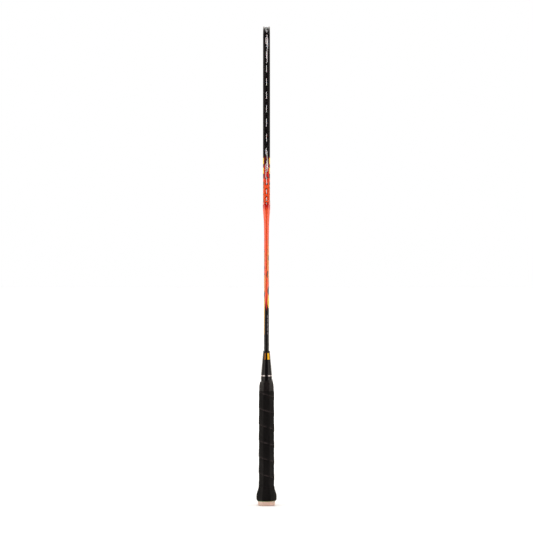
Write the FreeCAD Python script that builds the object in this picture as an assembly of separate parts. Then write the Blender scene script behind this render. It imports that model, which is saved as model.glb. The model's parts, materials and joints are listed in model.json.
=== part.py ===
import FreeCAD, Part
import math
import os
from collections import namedtuple

# Badminton racket. Z runs from the butt (z = 0) up to the top of the head, X across the head,
# Y through the string bed. Millimetres and degrees throughout.

# ---------------------------------------------------------------- driving dimensions
LENGTH = 675.0                # butt plate to the top of the head
HEAD_WIDTH = 203.0            # outside of the head, along X
HEAD_LENGTH = 251.5           # outside of the head, along Z
WIDEST_BELOW_TOP = 133.0      # where the head is widest

FRAME_THICK = 6.4             # frame section in the plane of the strings
FRAME_DEPTH = 9.7             # frame section along Y
FRAME_WALL = 0.8
GROOVE_DEPTH = 1.5            # outside groove that hides the strings
GROOVE_FLOOR = 4.4
GROOVE_MOUTH = 5.6

TOP_TURN = 28.0               # turn of the end arc over half the top of the head
TOP_SHOULDER_TURN = 48.0
TOP_SHOULDER_RADIUS = 60.0
BOTTOM_TURN = 25.0
BOTTOM_SHOULDER_TURN = 25.0
BOTTOM_SHOULDER_RADIUS = 140.0

STRING_DIA = 0.68
MAINS_PER_SIDE = 11
SIDE_GAP = 11.1               # outermost main to the inside of the frame at its widest
FIRST_CROSS_BELOW_TOP = 19.0
LAST_CROSS_ABOVE_THROAT = 52.75
CROSS_STEPS = 5 * [9.15] + 8 * [8.95] + 3 * [9.6] + 3 * [8.2] + [9.0]
MAIN_ORDER = [1, 2, 3, 4, 5, 6, 7, 8, 11, 9, 10]
FAN_OUT = 8.1                 # x at which the middle mains leave, clear of the throat
HOLE_SPACING = 3.2            # least distance between two holes inside the head

GROMMET_BORE = 0.55           # radii
GROMMET_BARREL = 1.1
GROMMET_FLANGE = 1.5
TIE_BORE = 0.85
TIE_BARREL = 1.3
TIE_FLANGE = 1.9
FLANGE_HEIGHT = 0.5
TIP_LENGTH = 1.5              # grommet tip standing inside the head

SHAFT_DIA = 7.0
SHAFT_BORE = 4.6
SHAFT_TOP_BELOW_HEAD = 2.5
SHAFT_BOTTOM = 90.0
SPIGOT_LENGTH = 25.0          # T joint inside the shaft
JOINT_TURN = 15.0             # T joint along the frame, each side of the middle
THROAT_LENGTH = 39.0          # fairing below the head
THROAT_WIDTH = 11.6
THROAT_DEPTH = 10.7

CONE_TOP = 217.6
CONE_BASE = 167.0
CONE_TOP_DIA = 9.3
CONE_BASE_DIA = 15.8
CONE_WALL = 1.5
CONE_STRAIGHT = 15.0          # length of the cylindrical skirt at its base
BAND_BOTTOM = 182.0
BAND_HEIGHT = 1.6

GRIP_THICK = 1.5
GRIP_BOTTOM = 6.9
GRIP_STRAIGHT_FROM = 26.3
GRIP_STRAIGHT_TO = 160.5
GRIP_TOP = 172.5
GRIP_HALF_DEPTH = 10.7
GRIP_WIDER = 1.5              # the handle is that much wider than deep, each side
FLARE_HALF_DEPTH = 14.35
WRAP_AT_CONE = (3.1, 2.3)     # wrap beyond the foot of the cone, sideways and along Y
WRAP_AT_TOP = (2.0, 1.6)      # and at its upper edge
SEAM_PITCH = 22.8
SEAM_RADIUS = 0.45
SEAM_Z = 155.5                # height of the first seam in the middle of the +X face
TAPE_BOTTOM = 161.5
TAPE_TOP = 179.0
TAPE_SLOPE = 14.0             # of its upper edge
TAPE_THICK = 0.25
TAPE_CUT_BELOW_TOP = 2.6      # height of the slanting edge at the axis

PLATE_HEIGHT = 6.2
PLATE_HALF_DEPTH = 12.0
PLATE_STEP = 2.6              # height of the smaller lower part
TRIM_HALF_DEPTH = 12.55
BADGE_RADIUS = 8.0
BADGE_HEIGHT = 0.6            # depth of its recess
BADGE_SUNK = 0.1

FIT = 0.02                    # clearance between glued or pushed-in pieces
GRIP_CORNER = 1.5             # rounding of the octagons' corners
CORE_CORNER = 0.8
BUTT_CORNER = 2.5
MIDDLE_FACE = 0.586           # corner cut of a regular octagon, as a share of its half depth

# ---------------------------------------------------------------- derived places
HALF_THICK = FRAME_THICK / 2
STRING_R = STRING_DIA / 2
HEAD_BOTTOM = LENGTH - HEAD_LENGTH
GROOVE_N = HALF_THICK - GROOVE_DEPTH              # offsets from the frame's centre line
OUTER_RUN = GROOVE_N + FLANGE_HEIGHT + STRING_R + 0.06
TIP_N = -HALF_THICK - TIP_LENGTH
INNER_BEND = TIP_N - 0.7
WEAVE = STRING_R + FIT                            # each string gives way by this at a crossing
TIE_SPLIT = 0.38                                  # two strings side by side in one hole
LANE = 0.8                                        # spacing of strings side by side in the groove
LANE_RAMP = 2.0
GROOVE_STEP = 4.0
CLEAR_OF_BEND = 0.3
CLOSE_TO_BEND = 1.2                               # a crossing nearer to the holes than this gives way more
CLOSE_WAY = 0.1                                   # by this much for each millimetre
OUTER_BEND_R = 0.8
INNER_BEND_R = 1.2
WEAVE_BEND_R = 1.2
KNOT_TURNS = 3
KNOT_START = 2.6
KNOT_RING = 0.72
KNOT_TAIL = 4.0
KNOT_ROOM = 4.6                                   # least free string between a hole and a crossing
KNOT_TAIL_LEAN = 1.6
JOINT_REACH = -60.0                               # the fairing meets only the frame below this angle

Y_AXIS = FreeCAD.Vector(0, 1, 0)
Z_AXIS = FreeCAD.Vector(0, 0, 1)
ORIGIN = FreeCAD.Vector(0, 0, 0)
Arc = namedtuple("Arc", "x z radius start end")


def point(x, y, z):
    return FreeCAD.Vector(x, y, z)


def cosine(angle):
    return math.cos(math.radians(angle))


def sine(angle):
    return math.sin(math.radians(angle))


def outward(angle):
    return point(cosine(angle), 0, sine(angle))


def export(name, shape):
    shape.exportStep("parts/" + name + ".step")
    print(f"{name:18s} solids {len(shape.Solids):3d}  valid {shape.isValid()}  {shape.Volume:10.1f} mm3")


# ---------------------------------------------------------------- paths and sections
def fillet_edges(points, radii):
    """Straight runs joined by tangent arcs; a radius is limited by the runs beside it."""
    edges = []
    last = points[0]
    for before, corner, after, radius in zip(points, points[1:], points[2:], radii[1:]):
        back = (before - corner).normalize()
        ahead = (after - corner).normalize()
        turn = math.pi - math.acos(max(-1.0, min(1.0, back.dot(ahead))))
        if turn < 1e-4:
            continue
        shorter = min((before - corner).Length, (after - corner).Length)
        radius = min(radius, 0.45 * shorter / math.tan(turn / 2))
        cut = radius * math.tan(turn / 2)
        bisector = (back + ahead).normalize()
        middle = corner + bisector * (radius / math.cos(turn / 2) - radius)
        edges.append(Part.LineSegment(last, corner + back * cut).toShape())
        edges.append(Part.Arc(corner + back * cut, middle, corner + ahead * cut).toShape())
        last = corner + ahead * cut
    edges.append(Part.LineSegment(last, points[-1]).toShape())
    return edges


def closed_wire(corners, radii):
    """Closed outline with rounded corners, begun in the middle of its last side."""
    start = (corners[-1] + corners[0]) * 0.5
    return Part.Wire(fillet_edges([start] + corners + [start], [0] + radii + [0]))


def sweep_round(points, radii, radius):
    """Round bar along a filleted path."""
    wire = Part.Wire(fillet_edges(points, radii))
    circle = Part.Circle(points[0], (points[1] - points[0]).normalize(), radius)
    return wire.makePipe(Part.Face(Part.Wire([circle.toShape()]))), wire.Length


def octagon(z, half_width, half_depth, corner_radius):
    cut = MIDDLE_FACE * half_depth
    w, d = half_width, half_depth
    quarter = [(w, -d + cut), (w, d - cut), (w - cut, d), (-w + cut, d),
               (-w, d - cut), (-w, -d + cut), (-w + cut, -d), (w - cut, -d)]
    return closed_wire([point(x, y, z) for x, y in quarter], 8 * [corner_radius])


def octagon_loft(stations, grow=0.0, corner_radius=GRIP_CORNER):
    wires = [octagon(z, w + grow, d + grow, corner_radius) for z, w, d in stations]
    return Part.makeLoft(wires, True, True)


def revolve_profile(profile):
    """Solid of revolution about Z from (radius, z) corners."""
    corners = [point(r, 0, z) for r, z in profile]
    return Part.Face(Part.makePolygon(corners + corners[:1])).revolve(ORIGIN, Z_AXIS, 360)


# ---------------------------------------------------------------- outline of the head
def quadrant_radii(width, height, end_turn, shoulder_turn, shoulder_radius):
    """Radii of the end and side arcs that join one shoulder arc smoothly."""
    a, b, c, d = 90, 90 - end_turn, 90 - end_turn - shoulder_turn, 0
    m11, m12 = cosine(b) - cosine(a), cosine(d) - cosine(c)
    m21, m22 = sine(a) - sine(b), sine(c) - sine(d)
    r1 = width - shoulder_radius * (cosine(c) - cosine(b))
    r2 = height - shoulder_radius * (sine(b) - sine(c))
    det = m11 * m22 - m12 * m21
    return (r1 * m22 - m12 * r2) / det, (m11 * r2 - m21 * r1) / det


def head_arcs():
    """Centre line of the frame down its +X side, by the angle of its outward normal."""
    half_width = HEAD_WIDTH / 2 - HALF_THICK
    upper = WIDEST_BELOW_TOP - HALF_THICK
    lower = HEAD_LENGTH - WIDEST_BELOW_TOP - HALF_THICK
    top_end, top_side = quadrant_radii(half_width, upper, TOP_TURN, TOP_SHOULDER_TURN,
                                       TOP_SHOULDER_RADIUS)
    low_end, low_side = quadrant_radii(half_width, lower, BOTTOM_TURN, BOTTOM_SHOULDER_TURN,
                                       BOTTOM_SHOULDER_RADIUS)
    turns = [90, 90 - TOP_TURN, 90 - TOP_TURN - TOP_SHOULDER_TURN, 0,
             -90 + BOTTOM_TURN + BOTTOM_SHOULDER_TURN, -90 + BOTTOM_TURN, -90]
    radii = [top_end, TOP_SHOULDER_RADIUS, top_side, low_side, BOTTOM_SHOULDER_RADIUS, low_end]
    arcs = []
    x, z = 0.0, LENGTH - HALF_THICK
    for radius, start, end in zip(radii, turns, turns[1:]):
        cx, cz = x - radius * cosine(start), z - radius * sine(start)
        arcs.append(Arc(cx, cz, radius, start, end))
        x, z = cx + radius * cosine(end), cz + radius * sine(end)
    return arcs


ARCS = head_arcs()


def arc_at(angle):
    """Arc under an angle; the -X side runs on from 90 to 270 as the mirror image."""
    folded = 180 - angle if angle > 90 else angle
    return next(arc for arc in ARCS if arc.end <= folded <= arc.start)


def arc_centre(angle):
    arc = arc_at(angle)
    return point(-arc.x if angle > 90 else arc.x, 0, arc.z)


def outline_point(angle, offset):
    return arc_centre(angle) + outward(angle) * (arc_at(angle).radius + offset)


def offset_of(x, z):
    """Distance of a point from the centre line, negative inside the head."""
    for arc in ARCS:
        angle = math.degrees(math.atan2(z - arc.z, abs(x) - arc.x))
        if arc.end <= angle <= arc.start:
            return math.hypot(abs(x) - arc.x, z - arc.z) - arc.radius
    return -HEAD_WIDTH / 2


def groove_per_degree(angle):
    """Length along the bottom of the groove for each degree of turn."""
    return math.radians(arc_at(angle).radius + OUTER_RUN)


def angle_where(axis, value, low, high, offset):
    """Angle between low and high at which the outline reaches a given x (0) or z (2)."""
    rising = outline_point(high, offset)[axis] > outline_point(low, offset)[axis]
    for _ in range(50):
        middle = (low + high) / 2
        if (outline_point(middle, offset)[axis] < value) == rising:
            low = middle
        else:
            high = middle
    return (low + high) / 2


# ---------------------------------------------------------------- string holes
def main_x(number):
    inside = HEAD_WIDTH / 2 - FRAME_THICK - SIDE_GAP
    return inside * (number - 0.5) / (MAINS_PER_SIDE - 0.5)


def cross_heights():
    first = LENGTH - FIRST_CROSS_BELOW_TOP
    span = first - HEAD_BOTTOM - LAST_CROSS_ABOVE_THROAT
    scale = span / sum(CROSS_STEPS)
    heights = [first]
    for step in CROSS_STEPS:
        heights.append(heights[-1] - step * scale)
    return heights


CROSS_Z = cross_heights()


class Hole:
    """A string hole, square to the frame unless it fans out to another outside angle."""

    def __init__(self, kind, angle, outside_angle=None):
        self.kind = kind
        self.shared = False
        self.own_y = 0.0
        self.angle = angle if outside_angle is None else outside_angle
        self.inner = outline_point(angle, INNER_BEND)
        self.outer = outline_point(self.angle, OUTER_RUN)
        self.axis = (self.outer - self.inner).normalize()

    def share(self, own_side):
        """Let a second string in beside the hole's own, which moves to that side."""
        self.shared = True
        self.own_y = own_side * TIE_SPLIT

    def at(self, offset):
        """Point on the hole's axis at a distance from the frame's centre line."""
        share = (offset - INNER_BEND) / (OUTER_RUN - INNER_BEND)
        return self.inner + (self.outer - self.inner) * share


def hole_angles():
    """Inside angles of the +X holes by (place, number), kept apart along the frame."""
    angles = {}
    for number in range(1, MAINS_PER_SIDE + 1):
        angles["top", number] = angle_where(0, main_x(number), 90, 0, INNER_BEND)
        angles["bottom", number] = angle_where(0, main_x(number), -90, 0, INNER_BEND)
    for number, z in enumerate(CROSS_Z, 1):
        angles["cross", number] = angle_where(2, z, 90, -90, INNER_BEND)
    order = sorted(angles, key=angles.get)
    for _ in range(20):
        for lower, upper in zip(order, order[1:]):
            reach = arc_at(angles[upper]).radius + INNER_BEND
            short = HOLE_SPACING - math.radians(angles[upper] - angles[lower]) * reach
            if short > 0:
                angles[lower] -= math.degrees(short / 2 / reach)
                angles[upper] += math.degrees(short / 2 / reach)
    return angles


def make_holes():
    holes = {}
    fanned = angle_where(0, FAN_OUT, -90, 0, OUTER_RUN)
    for (place, number), angle in hole_angles().items():
        kind = "cross" if place == "cross" else "main"
        outside = fanned if (place, number) == ("bottom", 1) else angle
        holes[place, number, 1] = Hole(kind, angle, outside)
        holes[place, number, -1] = Hole(kind, 180 - angle, 180 - outside)
    return holes


HOLES = make_holes()


def is_crossing(x, z):
    return offset_of(x, z) < INNER_BEND - CLEAR_OF_BEND


def top_room(number):
    """Free length of a main between its top hole and its first crossing."""
    first = next(z for z in CROSS_Z if is_crossing(main_x(number), z))
    return HOLES["top", number, 1].inner.z - first


# The crosses start on the outermost of the upright top holes that leave room for a knot.
CROSS_START = ("top", next(n for n in range(2, MAINS_PER_SIDE) if top_room(n + 1) < KNOT_ROOM), 1)
CROSS_END = ("cross", len(CROSS_Z) - 2, -1)
MAIN_ENDS = {side: ("bottom", 8, side) for side in (1, -1)}
for tie_off in (CROSS_START, MAIN_ENDS[1], MAIN_ENDS[-1]):
    HOLES[tie_off].share(1)
HOLES[CROSS_END].share(-1)


def hole_cylinder(hole, radius, start=INNER_BEND, end=OUTER_RUN):
    base, tip = hole.at(start), hole.at(end)
    return Part.makeCylinder(radius, (tip - base).Length, base, hole.axis)


def hole_cutters(extra):
    """Cylinders through the frame for every grommet barrel."""
    return Part.makeCompound([
        hole_cylinder(hole, (TIE_BARREL if hole.shared else GROMMET_BARREL) + extra)
        for hole in HOLES.values()])


# ---------------------------------------------------------------- frame, T joint and fairing
def frame_section():
    """Outside of the frame's section as (offset, y) corners with their radii."""
    half, depth = HALF_THICK, FRAME_DEPTH / 2
    mouth, floor = GROOVE_MOUTH / 2, GROOVE_FLOOR / 2
    side = [(-half, -depth, 2.4), (half, -depth, 1.3), (half, -mouth, 0.4), (GROOVE_N, -floor, 0.4)]
    return side + [(n, -y, r) for n, y, r in reversed(side)]


def cavity_section(shrink=0.0):
    low, high = -HALF_THICK + FRAME_WALL + shrink, GROOVE_N - FRAME_WALL - shrink
    depth = FRAME_DEPTH / 2 - FRAME_WALL - shrink
    return [(low, -depth, 1.0), (high, -depth, 0.6), (high, depth, 0.6), (low, depth, 1.0)]


def section_wire(section, angle):
    base = outline_point(angle, 0)
    corners = [base + outward(angle) * n + Y_AXIS * y for n, y, _ in section]
    return closed_wire(corners, [r for _, _, r in section])


def ring(sections, start=90.0, end=-90.0):
    """Sections swept along the head's centre line from start down to end, on both sides."""
    pieces = []
    for arc in ARCS:
        first, last = min(arc.start, start), max(arc.end, end)
        if first - last < 1e-6:
            continue
        inside = (first + last) / 2
        faces = [Part.Face(section_wire(section, inside)) for section in sections]
        face = faces[0].cut(faces[1:]).Faces[0] if faces[1:] else faces[0]
        face.rotate(point(arc.x, 0, arc.z), Y_AXIS, inside - first)
        pieces.append(face.revolve(point(arc.x, 0, arc.z), Y_AXIS, first - last))
    pieces += [piece.mirror(ORIGIN, point(1, 0, 0)) for piece in pieces]
    return pieces[0].multiFuse(pieces[1:])


def spigot_cylinder(radius, bottom):
    top = HEAD_BOTTOM + HALF_THICK
    return Part.makeCylinder(radius, top - bottom, point(0, 0, bottom), Z_AXIS)


def head_frame(cutters):
    """Hollow carbon hoop with its outside groove and string holes."""
    hoop = ring([frame_section(), cavity_section()])
    hoop = hoop.cut(cutters)
    return hoop.cut(spigot_cylinder(SHAFT_BORE / 2, HEAD_BOTTOM - 5))


def t_joint(cutters):
    """Curved bar inside the frame with a spigot down into the shaft."""
    bar = ring([cavity_section(FIT * 3)], -90 + JOINT_TURN, -90)
    spigot = spigot_cylinder(SHAFT_BORE / 2 - FIT, HEAD_BOTTOM - SPIGOT_LENGTH)
    return bar.fuse(spigot).cut(cutters)


def oval(z, half_width, half_depth, power):
    """Superellipse from round (power 2) towards square."""
    points = []
    for step in range(24):
        c, s = cosine(15 * step), sine(15 * step)
        grow = (abs(c) ** power + abs(s) ** power) ** (-1 / power)
        points.append(point(half_width * c * grow, half_depth * s * grow, z))
    curve = Part.BSplineCurve()
    curve.interpolate(points, PeriodicFlag=True)
    return Part.Wire([curve.toShape()])


def throat_fairing(filled_ring, cutters):
    """Moulded cone that blends the shaft into the bottom of the head."""
    start = SHAFT_DIA / 2 + 0.12
    width, depth = THROAT_WIDTH / 2, THROAT_DEPTH / 2
    bottom = HEAD_BOTTOM - THROAT_LENGTH
    stations = [(0.0, 0.0, 2.0), (0.28, 0.08, 2.0), (0.52, 0.36, 2.05), (0.72, 0.72, 2.2),
                (0.9, 0.97, 2.6), (1.06, 1.0, 3.0)]
    wires = [oval(bottom + THROAT_LENGTH * up, start + (width - start) * grow,
                  start + (depth - start) * grow, power) for up, grow, power in stations]
    wires.append(oval(HEAD_BOTTOM + FRAME_THICK + 1.2, 0.5 * width, 0.9 * depth, 3.0))
    body = Part.makeLoft(wires, True, False)
    shaft_top = HEAD_BOTTOM - SHAFT_TOP_BELOW_HEAD
    bore = Part.makeCylinder(SHAFT_DIA / 2 + FIT, shaft_top, ORIGIN, Z_AXIS)
    spigot = spigot_cylinder(SHAFT_BORE / 2, bottom)
    return body.cut(filled_ring).cut(bore).cut(spigot).cut(cutters)


# ---------------------------------------------------------------- grommets
def grommet(hole):
    """Plastic eyelet: tip inside the head, barrel through the frame, flange in the groove."""
    bore, barrel, flange = GROMMET_BORE, GROMMET_BARREL, GROMMET_FLANGE
    if hole.shared:
        bore, barrel, flange = TIE_BORE, TIE_BARREL, TIE_FLANGE
    length = (hole.at(GROOVE_N) - hole.at(TIP_N)).Length
    tip, rim = 0.4, 0.15
    profile = [(bore, 0), (barrel - tip / 2, 0), (barrel, tip), (barrel, length), (flange, length),
               (flange, length + FLANGE_HEIGHT - rim), (flange - rim, length + FLANGE_HEIGHT),
               (bore + 0.35, length + FLANGE_HEIGHT), (bore, length)]
    eyelet = revolve_profile(profile)
    eyelet.Placement = FreeCAD.Placement(hole.at(TIP_N), FreeCAD.Rotation(Z_AXIS, hole.axis))
    return eyelet


def fanned_grommet(hole):
    """Eyelet of a slanting hole: the barrel slants and the flange lies flat in the groove."""
    centre = arc_centre(hole.angle)
    normal = (hole.at(GROOVE_N) - centre).normalize()
    seat = centre + normal * (arc_at(hole.angle).radius + GROOVE_N)
    flange = Part.makeCylinder(GROMMET_FLANGE, FLANGE_HEIGHT, seat, normal)
    barrel = hole_cylinder(hole, GROMMET_BARREL, TIP_N, GROOVE_N + FLANGE_HEIGHT / 2)
    return barrel.fuse(flange).cut(hole_cylinder(hole, GROMMET_BORE))


def grommet_group(name, chosen):
    """Grommets of one stretch of the frame."""
    slanting = [hole for hole in chosen if hole.axis.dot(outward(hole.angle)) < 0.999]
    eyelets = [fanned_grommet(hole) if hole in slanting else grommet(hole) for hole in chosen]
    export(name, Part.makeCompound([solid for eyelet in eyelets for solid in eyelet.Solids]))


def grommets():
    loose = [hole for hole in HOLES.values() if not hole.shared]
    places = {"grommets_top": (45, 135), "grommets_left": (135, 225), "grommets_right": (-45, 45)}
    for name, (low, high) in places.items():
        grommet_group(name, [hole for hole in loose if low <= hole.angle < high])
    low_down = [hole for hole in loose if hole.angle < -45 or hole.angle >= 225]
    grommet_group("grommets_bottom", low_down)
    grommet_group("grommets_tie_off", [hole for hole in HOLES.values() if hole.shared])


# ---------------------------------------------------------------- strings
class Route:
    """Points of one string with the bend radius at each."""

    def __init__(self):
        self.points = []
        self.radii = []

    def add(self, place, y, radius):
        self.points.append(point(place.x, y, place.z))
        self.radii.append(radius)

    def through(self, hole, y, inward):
        """Pass a hole, into the head or out of it."""
        ends = [(hole.outer, OUTER_BEND_R), (hole.inner, INNER_BEND_R)]
        for place, radius in ends if inward else reversed(ends):
            self.add(place, y, radius)

    def along_groove(self, start, end, lane, inner_run=()):
        """Follow the groove in a lane beside the holes passed, and one further out round an inner run."""
        low, high = sorted((start.angle, end.angle))
        passes = any(low < hole.angle < high for hole in HOLES.values())
        if not passes and (high - low) * groove_per_degree((low + high) / 2) < 3 * LANE_RAMP:
            return
        y = lane if passes else (start.own_y + end.own_y) / 2
        around = sorted(hole.angle for hole in inner_run)
        onward = math.copysign(LANE_RAMP, end.angle - start.angle)
        first = start.angle + onward / groove_per_degree(start.angle)
        last = end.angle - onward / groove_per_degree(end.angle)
        run = abs(last - first) * groove_per_degree((first + last) / 2)
        steps = max(1, round(run / GROOVE_STEP))
        for step in range(steps + 1):
            angle = first + (last - first) * step / steps
            margin = 1.5 * LANE_RAMP / groove_per_degree(angle)
            beside = bool(around) and around[0] - margin < angle < around[1] + margin
            self.add(outline_point(angle, OUTER_RUN), y + beside * LANE, WEAVE_BEND_R)


def weave(column, row):
    """Way given by a main at a crossing, a little more at one close to the frame."""
    clear = INNER_BEND - offset_of(main_x(column), CROSS_Z[row])
    way = WEAVE + CLOSE_WAY * max(0.0, CLOSE_TO_BEND - clear)
    return way if (column + row) % 2 == 0 else -way


def main_crossings(number, side):
    """Points of one main, from the top down."""
    x = side * main_x(number)
    column = number if side > 0 else 1 - number
    return [point(x, weave(column, row), z) for row, z in enumerate(CROSS_Z) if is_crossing(x, z)]


def cross_crossings(row):
    """Points of one cross, from -X to +X."""
    z = CROSS_Z[row]
    columns = range(1 - MAINS_PER_SIDE, MAINS_PER_SIDE + 1)
    xs = [(column, main_x(column)) for column in columns]
    return [point(x, -weave(column, row), z) for column, x in xs if is_crossing(x, z)]


def add_crossings(route, points):
    for place in points:
        route.add(place, place.y, WEAVE_BEND_R)


def knot_place(hole, toward):
    """Foot of a knot on the string inside a hole: a point on it and its direction."""
    anchor = point(hole.inner.x, hole.own_y, hole.inner.z)
    direction = (toward - anchor).normalize()
    return anchor + direction * KNOT_START, direction


def add_tie_off(route, hole, toward):
    """Take the string in through a shared hole and end it under its knot."""
    route.through(hole, -hole.own_y, True)
    foot, direction = knot_place(hole, toward)
    across = (Y_AXIS - direction * direction.y).normalize()
    end = foot - direction * (STRING_R + FIT) - across * (2 * hole.own_y)
    route.add(end, end.y, 0)


def main_half(side):
    """Main string from the middle of the top to its knot near the bottom."""
    route = Route()
    last_cross = ("cross", len(CROSS_Z), side)
    cross_above = CROSS_END if side < 0 else ("cross", len(CROSS_Z) - 1, side)
    inner_runs = [(HOLES["top", 9, side], HOLES["top", 10, side]), (HOLES[last_cross], HOLES[cross_above])]
    previous, previous_number = None, None
    for turn, number in enumerate(MAIN_ORDER):
        first, last = HOLES["top", number, side], HOLES["bottom", number, side]
        points = main_crossings(number, side)
        if turn % 2:
            first, last = last, first
            points.reverse()
        if previous:
            skips = MAINS_PER_SIDE in (number, previous_number)
            route.along_groove(previous, first, LANE, inner_runs[turn % 2] if skips else ())
        route.through(first, first.own_y, True)
        add_crossings(route, points)
        route.through(last, last.own_y, False)
        previous, previous_number = last, number
    anchor = HOLES[MAIN_ENDS[side]]
    route.along_groove(previous, anchor, -LANE)
    add_tie_off(route, anchor, main_crossings(MAIN_ENDS[side][1], side)[-1])
    return route


def main_string():
    left, right = main_half(-1), main_half(1)
    return sweep_round(left.points[::-1] + right.points, left.radii[::-1] + right.radii, STRING_R)


def cross_string():
    """Cross string from its knot beside the top, row by row down the head, to its second knot."""
    start, anchor = HOLES[CROSS_START], HOLES[CROSS_END]
    route = Route()
    add_tie_off(route, start, main_crossings(CROSS_START[1], CROSS_START[2])[0])
    route.points.reverse()
    route.radii.reverse()
    previous, side = start, 1
    last_row = len(CROSS_Z) - 1
    for row in range(last_row + 1):
        first, last = HOLES["cross", row + 1, side], HOLES["cross", row + 1, -side]
        points = cross_crossings(row)
        route.along_groove(previous, first, LANE if row == last_row else -LANE)
        route.through(first, first.own_y, True)
        add_crossings(route, points[::-1] if side > 0 else points)
        route.through(last, last.own_y, False)
        previous, side = last, -side
    route.along_groove(previous, anchor, LANE)
    add_tie_off(route, anchor, cross_crossings(CROSS_END[1] - 1)[0])
    return sweep_round(route.points, route.radii, STRING_R)


def knot(hole, toward):
    """Turns of string round the anchor string, with a cut tail."""
    foot, direction = knot_place(hole, toward)
    side = direction.cross(direction.cross(Y_AXIS)).normalize()
    wire_r = STRING_R - FIT
    rise = direction * (STRING_DIA - 3 * FIT)
    turns = [Part.makeTorus(KNOT_RING, wire_r, foot + rise * turn, direction) for turn in range(KNOT_TURNS)]
    start = foot + rise * (KNOT_TURNS - 1) + side * KNOT_RING
    tail = Part.makeCylinder(wire_r, KNOT_TAIL, start, side * KNOT_TAIL_LEAN + direction)
    return turns[0].multiFuse(turns[1:] + [tail])


def knots():
    mains = [knot(HOLES[key], main_crossings(key[1], key[2])[-1]) for key in MAIN_ENDS.values()]
    export("main_knots", Part.makeCompound(mains))
    start = main_crossings(CROSS_START[1], CROSS_START[2])[0]
    end = cross_crossings(CROSS_END[1] - 1)[0]
    crosses = [knot(HOLES[CROSS_START], start), knot(HOLES[CROSS_END], end)]
    export("cross_knots", Part.makeCompound(crosses))


# ---------------------------------------------------------------- shaft, cone and handle
def shaft():
    length = HEAD_BOTTOM - SHAFT_TOP_BELOW_HEAD - SHAFT_BOTTOM
    base = point(0, 0, SHAFT_BOTTOM)
    tube = Part.makeCylinder(SHAFT_DIA / 2, length, base, Z_AXIS)
    return tube.cut(Part.makeCylinder(SHAFT_BORE / 2, length, base, Z_AXIS))


def cone_radius(z):
    """Outside of the cone at a height above its skirt."""
    low = CONE_BASE + CONE_STRAIGHT
    return (CONE_BASE_DIA + (CONE_TOP_DIA - CONE_BASE_DIA) * (z - low) / (CONE_TOP - low)) / 2


def cone_cap():
    """Tapered sleeve between handle and shaft, with a small lip round its top."""
    lip, hollow_top = 1.2, CONE_TOP - 12.0
    skirt_top = CONE_BASE + CONE_STRAIGHT
    bore = SHAFT_DIA / 2 + FIT
    profile = [
        (CONE_BASE_DIA / 2 - CONE_WALL, CONE_BASE), (CONE_BASE_DIA / 2, CONE_BASE),
        (CONE_BASE_DIA / 2, skirt_top), (cone_radius(CONE_TOP - lip), CONE_TOP - lip),
        (CONE_TOP_DIA / 2 + 0.15, CONE_TOP - lip + 0.2), (CONE_TOP_DIA / 2 + 0.15, CONE_TOP - 0.3),
        (CONE_TOP_DIA / 2 - 0.2, CONE_TOP), (bore, CONE_TOP), (bore, hollow_top),
        (cone_radius(hollow_top) - CONE_WALL, hollow_top), (CONE_BASE_DIA / 2 - CONE_WALL, skirt_top)]
    return revolve_profile(profile)


def cone_band():
    """Thin metal ring round the foot of the cone."""
    thick = 0.18
    low, high = cone_radius(BAND_BOTTOM), cone_radius(BAND_BOTTOM + BAND_HEIGHT)
    return revolve_profile([(low + FIT, BAND_BOTTOM), (low + thick, BAND_BOTTOM),
                            (high + thick, BAND_BOTTOM + BAND_HEIGHT),
                            (high + FIT, BAND_BOTTOM + BAND_HEIGHT)])


def grip_stations():
    """Outside of the wrapped handle as (height, half width, half depth)."""
    depth, flare, cone = GRIP_HALF_DEPTH, FLARE_HALF_DEPTH, CONE_BASE_DIA / 2
    flare_height = GRIP_STRAIGHT_FROM - GRIP_BOTTOM
    shape = [(0.0, -1.45), (0.055, -0.6), (0.12, -0.2), (0.21, 0.0), (0.37, -0.2),
             (0.52, -0.95), (0.76, -2.15), (0.985, -3.15)]
    stations = [(GRIP_BOTTOM + flare_height * up, flare + GRIP_WIDER + inset, flare + inset)
                for up, inset in shape]
    stations.append((GRIP_STRAIGHT_FROM, depth + GRIP_WIDER, depth))
    stations.append((GRIP_STRAIGHT_TO, depth + GRIP_WIDER, depth))
    stations.append((GRIP_STRAIGHT_TO + 0.8, depth + GRIP_WIDER - 0.25, depth - 0.25))
    for z, (sideways, along_y) in ((CONE_BASE, WRAP_AT_CONE), (GRIP_TOP, WRAP_AT_TOP)):
        stations.append((z, cone + sideways, cone + along_y))
    return stations


def core_stations():
    """Wooden core: the wrapped shape less the grip, up to the seat of the cone."""
    stations = [(z, w - GRIP_THICK, d - GRIP_THICK) for z, w, d in grip_stations()
                if z <= GRIP_STRAIGHT_TO]
    seat = CONE_BASE_DIA / 2 + 0.6
    return stations + [(CONE_BASE, seat + 0.7, seat)]


def handle_core():
    """Octagonal wooden handle with a flared butt and a nose that fills the cone."""
    nose_top = CONE_TOP - 14.0
    body = octagon_loft(core_stations(), 0.0, CORE_CORNER)
    clear = CONE_WALL + 2 * FIT
    nose = revolve_profile([(0, CONE_BASE - 1), (CONE_BASE_DIA / 2 - clear, CONE_BASE - 1),
                            (CONE_BASE_DIA / 2 - clear, CONE_BASE + CONE_STRAIGHT),
                            (cone_radius(nose_top) - clear, nose_top), (0, nose_top)])
    bore = Part.makeCylinder(SHAFT_DIA / 2 + FIT, LENGTH, point(0, 0, SHAFT_BOTTOM - FIT), Z_AXIS)
    return body.fuse(nose).cut(bore)


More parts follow.
